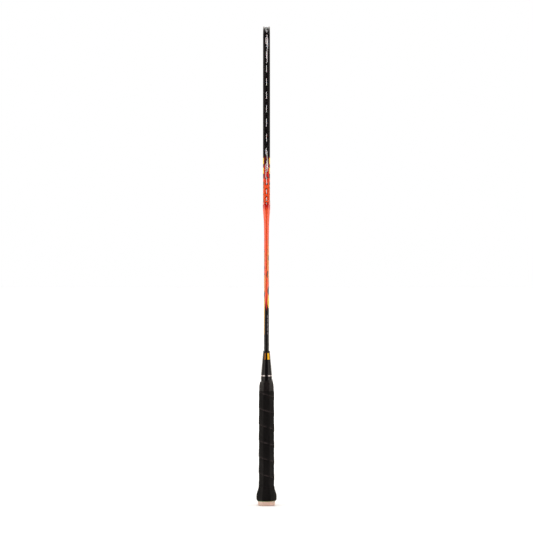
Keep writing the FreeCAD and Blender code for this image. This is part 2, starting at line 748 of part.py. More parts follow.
def seam_path():
    """Corner points of the wrap's spiral seam, running down anticlockwise round the octagon."""
    depth, width = GRIP_HALF_DEPTH, GRIP_HALF_DEPTH + GRIP_WIDER
    cut = MIDDLE_FACE * depth
    corners = [(width, depth - cut), (width - cut, depth), (-width + cut, depth), (-width, depth - cut),
               (-width, -depth + cut), (-width + cut, -depth), (width - cut, -depth), (width, -depth + cut)]
    lengths = [math.dist(a, b) for a, b in zip(corners, corners[1:] + corners[:1])]
    around = sum(lengths)
    z = SEAM_Z - SEAM_PITCH * (depth - cut) / around
    points = []
    while z > GRIP_STRAIGHT_FROM + 1:
        for (x, y), length in zip(corners, lengths):
            points.append(point(x, y, z))
            z -= SEAM_PITCH * length / around
    return [place for place in points if place.z > GRIP_STRAIGHT_FROM + 1]


def grip_wrap():
    """Cushioned wrap over the core, with the spiral seam between its turns."""
    solid = octagon_loft(grip_stations())
    solid = solid.cut(octagon_loft(core_stations(), FIT, CORE_CORNER))
    socket = Part.makeCylinder(CONE_BASE_DIA / 2 + FIT, LENGTH, point(0, 0, CONE_BASE - FIT), Z_AXIS)
    corners = seam_path()
    seam, _ = sweep_round(corners, len(corners) * [GRIP_CORNER], SEAM_RADIUS)
    return solid.cut(socket).cut(seam)


def finishing_tape():
    """Tape that closes the top of the wrap onto the cone, its upper edge slanting."""
    depth, cone = GRIP_HALF_DEPTH, CONE_BASE_DIA / 2
    wider = [(TAPE_BOTTOM, depth + GRIP_WIDER, depth + FIT)]
    for z, (sideways, along_y) in ((CONE_BASE, WRAP_AT_CONE), (GRIP_TOP + TAPE_THICK, WRAP_AT_TOP)):
        wider.append((z, cone + sideways + TAPE_THICK, cone + along_y + TAPE_THICK))
    wider.append((TAPE_TOP, cone + TAPE_THICK, cone + TAPE_THICK))
    solid = octagon_loft(wider).cut(octagon_loft(grip_stations(), FIT))
    solid = solid.cut(Part.makeCylinder(cone + FIT, LENGTH, point(0, 0, GRIP_TOP), Z_AXIS))
    edge = point(0, 0, TAPE_TOP - TAPE_CUT_BELOW_TOP)
    reach = 4 * depth
    above = Part.makeBox(2 * reach, 2 * reach, reach, edge - point(reach, reach, 0))
    above.rotate(edge, point(1, 0, 0), TAPE_SLOPE)
    return solid.cut(above)


# ---------------------------------------------------------------- butt
def plate_octagon(z, inset):
    return z, PLATE_HALF_DEPTH + GRIP_WIDER - inset, PLATE_HALF_DEPTH - inset


def butt_plate():
    """Pale end cap with a stepped rim and a recess for the badge."""
    chamfer, inset, neck_inset, neck_top = 0.9, 0.25, 0.55, PLATE_STEP + 0.4
    outlines = [[(0, chamfer), (chamfer, inset), (PLATE_STEP, inset)],
                [(PLATE_STEP, neck_inset), (neck_top, neck_inset)],
                [(neck_top, 0.0), (PLATE_HEIGHT, 0.0)]]
    lower, neck, upper = [octagon_loft([plate_octagon(z, inward) for z, inward in outline],
                                       corner_radius=BUTT_CORNER) for outline in outlines]
    recess = Part.makeCylinder(BADGE_RADIUS + FIT, BADGE_HEIGHT, ORIGIN, Z_AXIS)
    return lower.fuse([neck, upper]).cut(recess).removeSplitter()


def butt_badge():
    """Blank disc let into the end cap, a little below its face."""
    thickness = BADGE_HEIGHT - BADGE_SUNK - FIT
    return Part.makeCylinder(BADGE_RADIUS, thickness, point(0, 0, BADGE_SUNK), Z_AXIS)


def butt_trim_ring():
    """Coloured gasket between the end cap and the wrapped core."""
    outlines = [(z, TRIM_HALF_DEPTH + GRIP_WIDER, TRIM_HALF_DEPTH) for z in (PLATE_HEIGHT, GRIP_BOTTOM)]
    ring_body = octagon_loft(outlines, corner_radius=BUTT_CORNER)
    hole = Part.makeCylinder(BADGE_RADIUS, LENGTH, ORIGIN, Z_AXIS)
    return ring_body.cut(hole)


# ---------------------------------------------------------------- build
def main():
    os.makedirs("parts", exist_ok=True)
    cutters = hole_cutters(FIT)
    filled_ring = ring([frame_section()], JOINT_REACH, -90)
    export("head_frame", head_frame(cutters))
    export("t_joint", t_joint(cutters))
    export("throat_fairing", throat_fairing(filled_ring, cutters))
    grommets()
    for name, (solid, length) in {"main_string": main_string(), "cross_string": cross_string()}.items():
        export(name, solid)
        error = solid.Volume / (length * math.pi * STRING_R ** 2) - 1
        print(f"    length {length:.0f} mm, volume error {error:.5f}")
    knots()
    export("shaft", shaft())
    export("cone_cap", cone_cap())
    export("cone_band", cone_band())
    export("handle_core", handle_core())
    export("grip_wrap", grip_wrap())
    export("finishing_tape", finishing_tape())
    export("butt_plate", butt_plate())
    export("butt_badge", butt_badge())
    export("butt_trim_ring", butt_trim_ring())


main()
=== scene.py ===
import json
import math

import bmesh
import bpy
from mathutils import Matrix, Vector, noise


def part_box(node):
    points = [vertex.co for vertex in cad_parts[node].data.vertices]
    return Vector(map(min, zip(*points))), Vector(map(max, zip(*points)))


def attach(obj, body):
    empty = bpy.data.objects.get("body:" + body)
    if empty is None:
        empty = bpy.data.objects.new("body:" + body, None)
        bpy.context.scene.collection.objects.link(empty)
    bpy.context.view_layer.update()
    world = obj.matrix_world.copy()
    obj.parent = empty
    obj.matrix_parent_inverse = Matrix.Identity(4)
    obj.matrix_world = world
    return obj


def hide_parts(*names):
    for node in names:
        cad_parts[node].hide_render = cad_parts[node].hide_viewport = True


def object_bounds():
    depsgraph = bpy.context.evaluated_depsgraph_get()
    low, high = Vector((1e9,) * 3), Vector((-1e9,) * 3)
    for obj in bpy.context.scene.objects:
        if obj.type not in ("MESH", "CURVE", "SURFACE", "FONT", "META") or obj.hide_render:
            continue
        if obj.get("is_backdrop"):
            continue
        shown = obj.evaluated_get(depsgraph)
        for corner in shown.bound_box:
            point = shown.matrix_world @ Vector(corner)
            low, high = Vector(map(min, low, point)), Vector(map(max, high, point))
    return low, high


# Badminton racket. The frame is in metres, and so is the stage at the end of the script. All other
# sizes are in millimetres, MM turns them into metres, heights are above the end cap's face, and
# angles are in degrees.
MM = 0.001

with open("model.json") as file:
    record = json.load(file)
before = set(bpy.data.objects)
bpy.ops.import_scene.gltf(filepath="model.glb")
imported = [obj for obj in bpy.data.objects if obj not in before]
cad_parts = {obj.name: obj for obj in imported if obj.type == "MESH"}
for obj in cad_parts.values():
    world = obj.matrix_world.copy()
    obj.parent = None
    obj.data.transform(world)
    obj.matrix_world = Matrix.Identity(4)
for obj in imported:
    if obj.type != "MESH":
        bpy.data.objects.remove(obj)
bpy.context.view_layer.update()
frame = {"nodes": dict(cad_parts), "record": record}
NODES = frame["nodes"]


def box_mm(node):
    low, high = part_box(node)
    return low / MM, high / MM


# ---------------------------------------------------------------- sizes read from the frame
FRAME_HALF_DEPTH = box_mm("head_frame")[1].y
CONE_HIGH = box_mm("cone_cap")[1]
CONE_RADIUS = CONE_HIGH.x
WRAP_LOW, WRAP_HIGH = box_mm("grip_wrap")
TAPE_LOW, TAPE_HIGH = box_mm("finishing_tape")
TRIM_HIGH = box_mm("butt_trim_ring")[1]

# ---------------------------------------------------------------- sizes of the wrapped handle
STRAIGHT_LOW = 26.3           # the wrap is straight between these heights
STRAIGHT_HIGH = 160.5
HALF_DEPTH = 10.7             # half depth of the straight part
WIDER = WRAP_HIGH.x - WRAP_HIGH.y       # its half width is more by this, and so is the flare's
CORNER = 1.5                  # rounding of the octagon's corners
CORNER_CUT = 0.586            # corner cut of a regular octagon, as a share of its half depth
FLARE = WRAP_HIGH.y           # half depth of the flare
FLARE_TOP = STRAIGHT_LOW - 0.25
WRAP_THICK = 1.5
SEAM_PITCH = 22.8
SEAM_Z = 155.5                # height of the first seam in the middle of the +X face
TAPE_SLOPE = math.tan(math.radians(14))
TAPE_EDGE = TAPE_HIGH.z - 2.6           # height of the tape's slanting upper edge at the axis
EDGE_HIGHLIGHT = "edge_highlight"       # vertex attribute of the wrap: how much painted highlight a point gets along the edge of a turn


# ---------------------------------------------------------------- node trees
def srgb(red, green, blue):
    """Linear colour with alpha from 0-255 display values."""
    def linear(value):
        share = value / 255
        return share / 12.92 if share <= 0.04045 else ((share + 0.055) / 1.055) ** 2.4
    return (linear(red), linear(green), linear(blue), 1.0)


class Tree:
    """Nodes added to a tree, with sockets or plain values as inputs."""

    def __init__(self, tree):
        self.tree = tree

    def node(self, kind, inputs, **settings):
        made = self.tree.nodes.new("ShaderNode" + kind)
        for name, value in settings.items():
            setattr(made, name, value)
        for socket, value in inputs.items():
            self.feed(made.inputs[socket], value)
        return made

    def feed(self, socket, value):
        if isinstance(value, bpy.types.NodeSocket):
            self.tree.links.new(value, socket)
        else:
            socket.default_value = value

    def math(self, operation, *values):
        return self.node("Math", dict(enumerate(values)), operation=operation).outputs[0]

    def rise(self, value, low, high):
        """0 below low, 1 above high, smooth between; falls if high is the lower."""
        inputs = {"Value": value, "From Min": min(low, high), "From Max": max(low, high)}
        if high < low:
            inputs.update({"To Min": 1.0, "To Max": 0.0})
        return self.node("MapRange", inputs, interpolation_type="SMOOTHSTEP").outputs[0]

    def between(self, value, low, high, soft):
        """1 between low and high, with soft edges."""
        return self.math("MULTIPLY", self.rise(value, low - soft, low + soft),
                         self.rise(value, high + soft, high - soft))

    def share(self, value, low, high):
        """Where a value lies between low and high, from 0 to 1."""
        return self.node("MapRange", {"Value": value, "From Min": low, "From Max": high}).outputs[0]

    def ramp(self, value, stops, smooth=True):
        """Colours along a value, as (value from 0 to 1, colour) stops."""
        made = self.node("ValToRGB", {0: value})
        made.color_ramp.interpolation = "LINEAR" if smooth else "CONSTANT"
        elements = made.color_ramp.elements
        while len(elements) < len(stops):
            elements.new(1.0)
        for element, (position, colour) in zip(elements, stops):
            element.position = position
            element.color = colour
        return made.outputs[0]

    def mix(self, share, first, second):
        return self.node("Mix", {0: share, 6: first, 7: second}, data_type="RGBA").outputs[2]


class Paint(Tree):
    """A node material round one Principled shader. Positions are in millimetres."""

    def __init__(self, name, values):
        self.material = bpy.data.materials.new(name)
        self.material.use_nodes = True
        super().__init__(self.material.node_tree)
        self.shader = self.tree.nodes["Principled BSDF"]
        for socket, value in values.items():
            self.shader.inputs[socket].default_value = value
        coordinates = self.node("TexCoord", {}).outputs["Object"]
        self.place = self.node("VectorMath", {0: coordinates, "Scale": 1 / MM}, operation="SCALE").outputs[0]
        self.x, self.y, self.z = self.node("SeparateXYZ", {0: self.place}).outputs

    def set(self, socket, value):
        self.feed(self.shader.inputs[socket], value)

    def stretched(self, *scales):
        return self.node("VectorMath", {0: self.place, 1: scales}, operation="MULTIPLY").outputs[0]

    def noise(self, scale, detail=2.0, roughness=0.5, vector=None):
        inputs = {"Vector": vector or self.place, "Scale": scale, "Detail": detail, "Roughness": roughness}
        return self.node("TexNoise", inputs).outputs[0]

    def bands(self, value, stops, smooth):
        """Colours by a value in millimetres, as (value, colour) stops from the lowest up."""
        low, high = stops[0][0], stops[-1][0]
        stops = [((place - low) / (high - low), colour) for place, colour in stops]
        return self.ramp(self.share(value, low, high), stops, smooth)

    def blend(self, share, first, second):
        """A number between two others."""
        return self.node("Mix", {0: share, 2: first, 3: second}, data_type="FLOAT").outputs[0]

    def bump(self, height, distance, strength=1.0):
        """Relief of that many millimetres for a height from 0 to 1."""
        inputs = {"Height": height, "Distance": distance * MM, "Strength": strength}
        self.set("Normal", self.node("Bump", inputs).outputs[0])

    def around(self):
        """Angle about the racket's axis from the X line, the same on both sides, -90 to 90."""
        angle = self.math("DEGREES", self.math("ARCTAN2", self.y, self.x))
        return self.math("WRAP", angle, 90.0, -90.0)

    def apart(self, angle, centre):
        """Degrees between two angles that repeat every half turn."""
        return self.math("ABSOLUTE", self.math("WRAP", self.math("SUBTRACT", angle, centre), 90.0, -90.0))


# ---------------------------------------------------------------- colours
BLACK = srgb(15, 12, 15)
DARK = srgb(40, 16, 22)
OLIVE = srgb(84, 86, 40)
ORANGE_RED = srgb(236, 76, 30)
RED = srgb(196, 22, 10)
DARK_RED = srgb(100, 4, 4)
ORANGE = srgb(232, 104, 36)
AMBER = srgb(226, 124, 0)
YELLOW = srgb(240, 200, 0)
GOLD = srgb(234, 172, 10)
BRONZE = srgb(150, 88, 6)
DASH_GREY = srgb(120, 112, 120)


# ---------------------------------------------------------------- lacquered parts
def lacquer(name):
    """Smooth glossy paint with faint orange peel and handling haze. Its clear coat is off."""
    paint = Paint(name, {"Coat Weight": 0.0, "Coat Roughness": 0.12, "Coat IOR": 1.9,
                         "Specular IOR Level": 0.4})
    paint.bump(paint.noise(0.5, 3.0), 0.002)
    haze = paint.noise(0.06, 4.0, 0.6)
    paint.set("Roughness", paint.blend(haze, 0.08, 0.22))
    return paint


def flaked(paint, colour):
    """Fine pale flakes in the paint."""
    flakes = paint.rise(paint.noise(6.0, 1.0, 0.3), 0.62, 0.78)
    return paint.mix(paint.math("MULTIPLY", flakes, 0.06), colour, srgb(255, 236, 220))


RIM_COLOURS = [
    # height and colour there, each colour running into the next
    (420, ORANGE_RED), (452, ORANGE_RED), (462, RED), (473, RED),
    (478, DARK_RED), (485, DARK_RED), (489, BLACK), (560, BLACK),
]
FLAT_SIDE_COLOURS = [
    # height and colour from there up to the next
    (400, ORANGE_RED), (428, OLIVE), (430, ORANGE), (436, OLIVE), (438, ORANGE),
    (445, OLIVE), (448, ORANGE), (450, OLIVE), (453, ORANGE), (458, DARK),
    (465, YELLOW), (473, DARK), (477, YELLOW), (485, BLACK), (560, BLACK),
]
FLAT_SIDE_FROM = FRAME_HALF_DEPTH - 1.35      # the flat sides' colours start and are full here
FLAT_SIDE_FULL = FRAME_HALF_DEPTH - 1.0
EDGES_WANDER = 5.0            # height over which the edges between the colours wander
ALONG_TONGUES = 0.07          # noise per millimetre along the tongues of the edges, and across them
ACROSS_TONGUES = 0.33
COAT_FROM = 486.0             # the clear coat starts here and is full below
COAT_FULL = 470.0


def frame_lacquer():
    """Black head running into orange-red at the throat, with blocks and tongues on its two flat sides."""
    paint = lacquer("frame_lacquer")
    ragged = paint.math("SUBTRACT", paint.noise(0.5, 3.0), 0.5)
    edge_z = paint.math("ADD", paint.z, paint.math("MULTIPLY", ragged, EDGES_WANDER))
    rim = paint.bands(edge_z, RIM_COLOURS, True)
    width = paint.math("ABSOLUTE", paint.x)
    along = paint.math("MULTIPLY", paint.math("ADD", width, paint.z), ALONG_TONGUES)
    across = paint.math("MULTIPLY", paint.math("SUBTRACT", width, paint.z), ACROSS_TONGUES)
    flow = paint.node("CombineXYZ", {0: along, 1: across}).outputs[0]
    tongues = paint.math("SUBTRACT", paint.noise(1.0, 2.0, 0.4, flow), 0.5)
    face_z = paint.math("ADD", paint.z, paint.math("MULTIPLY", tongues, EDGES_WANDER))
    face = paint.bands(face_z, FLAT_SIDE_COLOURS, False)
    flat_side = paint.rise(paint.math("ABSOLUTE", paint.y), FLAT_SIDE_FROM, FLAT_SIDE_FULL)
    paint.set("Base Color", flaked(paint, paint.mix(flat_side, rim, face)))
    paint.set("Coat Weight", paint.rise(paint.z, COAT_FROM, COAT_FULL))
    return paint.material


# height and colour; the red from 422 up is painted shade in the saddle under the head
THROAT_COLOURS_AND_SADDLE_SHADE = [(380, ORANGE_RED), (417, ORANGE_RED), (422, RED), (440, RED)]


def throat_lacquer():
    """Orange-red fairing, with painted shade: darker red in the saddle under the head."""
    paint = lacquer("throat_lacquer")
    paint.set("Coat Weight", 1.0)
    wander = paint.math("MULTIPLY", paint.noise(0.4, 2.0), 2.0)
    height = paint.math("ADD", paint.z, wander)
    paint.set("Base Color", flaked(paint, paint.bands(height, THROAT_COLOURS_AND_SADDLE_SHADE, True)))
    return paint.material


SHAFT_COLOURS = [(250, DARK_RED), (282, RED), (300, ORANGE_RED), (420, ORANGE_RED)]
BLACK_TOP = 274.0             # the red starts here on the X line, and higher by the slope further round
BLACK_TOP_SLOPE = 0.33        # millimetres for each degree
BLACK_TOP_WANDER = 8.0
SHAFT_FLAMES = [
    # centre angle, half width, lowest and highest point, colour
    (66, 42, 314, 378, AMBER),
    (64, 28, 278, 299, YELLOW),
    (-72, 30, 333, 358, AMBER),
    (-56, 36, 297, 325, AMBER),
    (-66, 22, 240, 294, GOLD),
]
SHAFT_SHADOWS = [
    (24, 14, 321, 331),
    (66, 16, 345, 353),
    (62, 34, 297, 309),
    (-64, 18, 330, 338),
    (-56, 24, 294, 301),
]
FLAME_SWAY = 9.0              # degrees that a flame bends to either side
FLAME_SWAY_TURN = 4.5         # radians of that bend from its lowest to its highest point
FLAME_BLUNT = 0.4             # lower for a blunter tip
FLAME_SOFT = 2.0              # degrees over which its sides fade
OUTLINE_WIDE = 7              # how far a flame's dark outline goes beyond it, in degrees and in height
OUTLINE_HIGH = 1.5
DASH_PITCH = 6.0
DASH = 4.6
DASHES_LOW = 241
DASHES_HIGH = 268
DASHES_ANGLE = 24.0
DASHES_HALF_WIDTH = 9.0


def lick(paint, angle, centre, half_width, low, high):
    """Mask of one flame along the shaft, swaying and pointed at both ends."""
    up = paint.share(paint.z, low, high)
    bend = paint.math("SINE", paint.math("MULTIPLY", up, FLAME_SWAY_TURN))
    sway = paint.math("MULTIPLY", bend, FLAME_SWAY)
    width = paint.math("POWER", paint.math("SINE", paint.math("MULTIPLY", up, math.pi)), FLAME_BLUNT)
    width = paint.math("MULTIPLY", width, half_width)
    away = paint.apart(paint.math("ADD", angle, sway), centre)
    inside = paint.rise(paint.math("SUBTRACT", width, away), -FLAME_SOFT, FLAME_SOFT)
    return paint.math("MULTIPLY", inside, paint.between(paint.z, low, high, 0.2))


def shaft_lacquer():
    """Red above and black below, with yellow and amber flames, and a row of plain grey dashes."""
    paint = lacquer("shaft_lacquer")
    angle = paint.around()
    wander = paint.math("SUBTRACT", paint.noise(0.35, 2.0), 0.5)
    wander = paint.math("MULTIPLY", wander, BLACK_TOP_WANDER)
    edge = paint.math("MULTIPLY", paint.math("ABSOLUTE", angle), BLACK_TOP_SLOPE)
    edge = paint.math("ADD", edge, BLACK_TOP)
    above = paint.math("SUBTRACT", paint.math("ADD", paint.z, wander), edge)
    is_red = paint.rise(above, -1.0, 3.0)
    paint.set("Coat Weight", is_red)
    colour = paint.mix(is_red, BLACK, paint.bands(paint.z, SHAFT_COLOURS, True))
    for centre, half_width, low, high, tint in SHAFT_FLAMES:
        outline = lick(paint, angle, centre, half_width + OUTLINE_WIDE, low - OUTLINE_HIGH,
                       high + OUTLINE_HIGH)
        inner = lick(paint, angle, centre, half_width, low, high)
        colour = paint.mix(paint.math("MULTIPLY", outline, 0.8), colour, DARK)
        colour = paint.mix(inner, colour, tint)
    for centre, half_width, low, high in SHAFT_SHADOWS:
        colour = paint.mix(lick(paint, angle, centre, half_width, low, high), colour, BLACK)
    dashes = paint.math("LESS_THAN", paint.math("WRAP", paint.z, DASH_PITCH, 0.0), DASH)
    line = paint.math("LESS_THAN", paint.apart(angle, DASHES_ANGLE), DASHES_HALF_WIDTH)
    mark = paint.math("MULTIPLY", paint.math("MULTIPLY", line, dashes),
                      paint.between(paint.z, DASHES_LOW, DASHES_HIGH, 0.1))
    colour = paint.mix(paint.math("MULTIPLY", mark, 0.7), colour, DASH_GREY)
    paint.set("Base Color", flaked(paint, colour))
    return paint.material


BARS_LOW = CONE_HIGH.z - 12.0
BARS_HIGH = CONE_HIGH.z - 2.9
WIDE_BAR = (13, 52)           # angles of its two edges
NARROW_BAR = (-30, -12)


def cone_plastic():
    """Gloss black cone with two gold and two bronze bars below its lip."""
    paint = lacquer("cone_plastic")
    angle = paint.around()
    level = paint.between(paint.z, BARS_LOW, BARS_HIGH, 0.12)
    level = paint.math("MULTIPLY", level, paint.rise(paint.noise(1.6, 4.0, 0.7), 0.20, 0.30))
    wide = paint.math("MULTIPLY", paint.between(angle, *WIDE_BAR, 0.8), level)
    narrow = paint.math("MULTIPLY", paint.between(angle, *NARROW_BAR, 0.8), level)
    colour = paint.mix(narrow, paint.mix(wide, BLACK, GOLD), BRONZE)
    paint.set("Base Color", colour)
    paint.set("Metallic", paint.math("MULTIPLY", wide, 0.3))
    return paint.material


# ---------------------------------------------------------------- plastics, strings and foils
def grommet_nylon():
    """Moulded black nylon, paler and duller in random patches."""
    paint = Paint("grommet_nylon", {"Specular IOR Level": 0.4})
    grain = paint.noise(4.0, 3.0, 0.6)
    paint.set("Base Color", paint.mix(paint.rise(grain, 0.35, 0.75), srgb(16, 16, 18), srgb(34, 33, 36)))
    paint.set("Roughness", paint.blend(grain, 0.32, 0.55))
    paint.bump(grain, 0.02)
    return paint.material


BRAID = 14.0                  # radians of the braid's waves for each millimetre


def string_nylon():
    """White braided nylon, with a fine twill and slight soiling."""
    paint = Paint("string_nylon", {"Specular IOR Level": 0.5, "Subsurface Weight": 0.08,
                                   "Subsurface Scale": 0.0004, "Coat Weight": 0.35, "Coat Roughness": 0.18})
    total = paint.math("ADD", paint.math("ADD", paint.x, paint.y), paint.z)
    difference = paint.math("SUBTRACT", paint.math("SUBTRACT", paint.x, paint.y), paint.z)
    braid = paint.math("MULTIPLY", paint.math("SINE", paint.math("MULTIPLY", total, BRAID)),
                       paint.math("SINE", paint.math("MULTIPLY", difference, BRAID)))
    height = paint.math("ADD", paint.math("MULTIPLY", braid, 0.5), 0.5)
    soil = paint.rise(paint.noise(0.05, 5.0, 0.65), 0.45, 0.75)
    colour = paint.mix(soil, srgb(236, 232, 234), srgb(216, 210, 212))
    paint.set("Base Color", paint.mix(paint.math("MULTIPLY", height, 0.08), colour, srgb(206, 206, 210)))
    paint.set("Roughness", paint.blend(height, 0.46, 0.32))
    paint.bump(height, 0.006)
    return paint.material


def band_foil():
    """Bright rolled metal ring."""
    paint = Paint("band_foil", {"Metallic": 1.0})
    brushed = paint.noise(3.0, 3.0, 0.6, paint.stretched(0.2, 0.2, 6.0))
    paint.set("Base Color", paint.mix(brushed, srgb(226, 218, 220), srgb(200, 192, 196)))
    paint.set("Roughness", paint.blend(brushed, 0.10, 0.28))
    paint.bump(brushed, 0.01)
    return paint.material


def grip_cushion():
    """Matt black polyurethane wrap with a leathery grain, and a painted highlight along the edge of each
    turn.
    """
    paint = Paint("grip_cushion", {"Specular IOR Level": 0.22})
    cells = paint.node("TexVoronoi", {"Vector": paint.place, "Scale": 2.2}, feature="DISTANCE_TO_EDGE")
    grain = paint.rise(cells.outputs[0], 0.0, 0.2)
    fine = paint.noise(7.0, 3.0, 0.6)
    worn = paint.rise(paint.noise(0.05, 4.0, 0.6), 0.40, 0.72)
    colour = paint.mix(worn, srgb(16, 12, 12), srgb(26, 19, 19))
    edge_highlight_mask = paint.node("Attribute", {}, attribute_name=EDGE_HIGHLIGHT).outputs["Fac"]
    patchy = paint.rise(paint.noise(0.16, 4.0, 0.65), 0.36, 0.60)
    # painted highlight: the lower edge of each turn is made paler in patches, as if it caught the light
    colour = paint.mix(paint.math("MULTIPLY", edge_highlight_mask, patchy), colour, srgb(104, 88, 88))
    paint.set("Base Color", paint.mix(paint.math("MULTIPLY", grain, 0.4), srgb(11, 9, 10), colour))
    paint.set("Roughness", paint.blend(worn, 0.78, 0.58))
    paint.bump(paint.math("ADD", grain, paint.math("MULTIPLY", fine, 0.6)), 0.04)
    return paint.material


def tape_film():
    """Satin black adhesive tape, stretched, with fine creases along its pull."""
    paint = Paint("tape_film", {"Specular IOR Level": 0.4})
    creases = paint.noise(1.1, 4.0, 0.6, paint.stretched(0.25, 0.25, 1.6))
    scuffs = paint.rise(paint.noise(0.35, 5.0, 0.7), 0.48, 0.7)
    paint.set("Base Color", paint.mix(scuffs, srgb(20, 15, 16), srgb(42, 34, 34)))
    paint.set("Roughness", paint.blend(creases, 0.30, 0.46))
    paint.bump(creases, 0.04)
    return paint.material


def plate_plastic():
    """Pale pinkish plastic, satin, slightly mottled and darker in patches towards its lower edge."""
    paint = Paint("plate_plastic", {"Specular IOR Level": 0.45, "Subsurface Weight": 0.12,
                                    "Subsurface Scale": 0.002})
    mottle = paint.noise(0.25, 4.0, 0.6)
    colour = paint.mix(mottle, srgb(228, 198, 184), srgb(216, 182, 168))
    # darker in patches within 1.2 mm of the plate's lowest point
    lower_edge_darkening = paint.math("MULTIPLY", paint.rise(paint.z, 1.2, 0.0), paint.rise(paint.noise(0.8, 4.0), 0.4, 0.7))
    paint.set("Base Color", paint.mix(paint.math("MULTIPLY", lower_edge_darkening, 0.5), colour, srgb(150, 122, 112)))
    paint.set("Roughness", paint.blend(mottle, 0.34, 0.5))
    paint.bump(paint.noise(5.0, 2.0), 0.02)
    return paint.material


BADGE_RING = (6.6, 7.1)       # radii of the dark ring near its edge


def badge_film():
    """Blank spun-metal disc with fine concentric lines."""
    paint = Paint("badge_film", {"Metallic": 0.9})
    radius = paint.math("SQRT", paint.math("ADD", paint.math("POWER", paint.x, 2.0),
                                           paint.math("POWER", paint.y, 2.0)))
    outward = paint.node("CombineXYZ", {0: paint.math("MULTIPLY", radius, 9.0)}).outputs[0]
    lines = paint.noise(1.0, 2.0, 0.5, outward)
    ring = paint.between(radius, *BADGE_RING, 0.05)
    colour = paint.mix(lines, srgb(206, 208, 212), srgb(176, 178, 184))
    paint.set("Base Color", paint.mix(ring, colour, srgb(90, 92, 98)))
    paint.set("Roughness", paint.blend(lines, 0.24, 0.42))
    paint.bump(lines, 0.02)
    return paint.material


def trim_foil():
    """Green gasket, olive on one side and darker on the other."""
    paint = Paint("trim_foil", {"Specular IOR Level": 0.5})
    side = paint.math("ADD", paint.y, paint.math("MULTIPLY", paint.noise(0.4, 3.0), 6.0))
    paint.set("Base Color", paint.mix(paint.rise(side, -4.0, 10.0), srgb(14, 120, 56), srgb(104, 110, 30)))
    paint.set("Roughness", paint.blend(paint.noise(1.5, 3.0), 0.25, 0.45))
    paint.bump(paint.noise(3.0, 2.0), 0.02)
    return paint.material


def handle_wood():
    """Bare light wood of the core."""
    paint = Paint("handle_wood", {"Specular IOR Level": 0.3})
    rings = paint.noise(0.6, 4.0, 0.6, paint.stretched(1.0, 1.0, 0.05))
    paint.set("Base Color", paint.mix(rings, srgb(206, 168, 118), srgb(166, 124, 78)))
    paint.set("Roughness", paint.blend(rings, 0.55, 0.72))
    paint.bump(rings, 0.05)
    return paint.material


def joint_alloy():
    """Cast alloy of the hidden joint."""
    paint = Paint("joint_alloy", {"Metallic": 1.0})
    grain = paint.noise(2.0, 4.0, 0.65)
    paint.set("Base Color", paint.mix(grain, srgb(190, 192, 196), srgb(150, 152, 158)))
    paint.set("Roughness", paint.blend(grain, 0.35, 0.6))
    paint.bump(grain, 0.04)
    return paint.material


MATERIALS = {make.__name__: make() for make in (
    frame_lacquer, throat_lacquer, shaft_lacquer, cone_plastic, grommet_nylon, string_nylon, band_foil,
    grip_cushion, tape_film, plate_plastic, badge_film, trim_foil, handle_wood, joint_alloy)}


# ---------------------------------------------------------------- mesh helpers
def smooth_between(value, low, high):
    share = min(1.0, max(0.0, (value - low) / (high - low)))
    return share * share * (3 - 2 * share)


def along(stations, z):
    """Smooth curve through (z, value...) stations, in order of z."""
    count = len(stations)
    index = max(1, min(count - 1, next((i for i, s in enumerate(stations) if s[0] >= z), count - 1)))
    before, start, end, after = [stations[max(0, min(count - 1, index + k))] for k in (-2, -1, 0, 1)]
    span = end[0] - start[0]
    share = min(1.0, max(0.0, (z - start[0]) / span))
    values = []
    for p0, p1, p2, p3 in list(zip(before, start, end, after))[1:]:
        slope_in = (p2 - p0) * span / max(1e-6, end[0] - before[0])
        slope_out = (p3 - p1) * span / max(1e-6, after[0] - start[0])
        square, cube = share * share, share ** 3
        values.append((2 * cube - 3 * square + 1) * p1 + (cube - 2 * square + share) * slope_in
                      + (3 * square - 2 * cube) * p2 + (cube - square) * slope_out)
    return values


ARC_STEPS = 5                 # parts of each rounded corner of an octagon, and of each flat side
FLAT_STEPS = 8
WELD = 0.004                  # points closer than this are made one
SPECK = 0.001                 # edges shorter than this are dissolved


def octagon(width, depth, corner):
    """Points and outward normals round an octagon with rounded corners, from the middle of its +X face."""
    cut = CORNER_CUT * depth
    corners = [(width, depth - cut), (width - cut, depth), (-width + cut, depth), (-width, depth - cut),
               (-width, cut - depth), (cut - width, -depth), (width - cut, -depth), (width, cut - depth)]
    arcs = []
    for number, (x, y) in enumerate(corners):
        middle = math.radians(45 * number + 22.5)
        reach = corner / math.cos(math.radians(22.5))
        centre = Vector((x - reach * math.cos(middle), y - reach * math.sin(middle)))
        normals = [Vector((math.cos(a), math.sin(a))) for a in
                   (math.radians(45 * (number + step / ARC_STEPS)) for step in range(ARC_STEPS + 1))]
        arcs.append([(centre + corner * normal, normal) for normal in normals])
    ring = []
    for arc, following in zip(arcs, arcs[1:] + arcs[:1]):
        (start, normal), (end, _) = arc[-1], following[0]
        flat = [(start.lerp(end, step / FLAT_STEPS), normal) for step in range(1, FLAT_STEPS)]
        ring += arc + flat
    turn = FLAT_STEPS // 2 - 1
    return ring[-turn - 1:] + ring[:-turn - 1]


def fractions(ring):
    """Share of the way round at each point of a ring, with 1 for its start met again."""
    points = [point for point, _ in ring] + [ring[0][0]]
    steps = [(b - a).length for a, b in zip(points, points[1:])]
    shares = [0.0]
    for step in steps:
        shares.append(shares[-1] + step / sum(steps))
    return shares


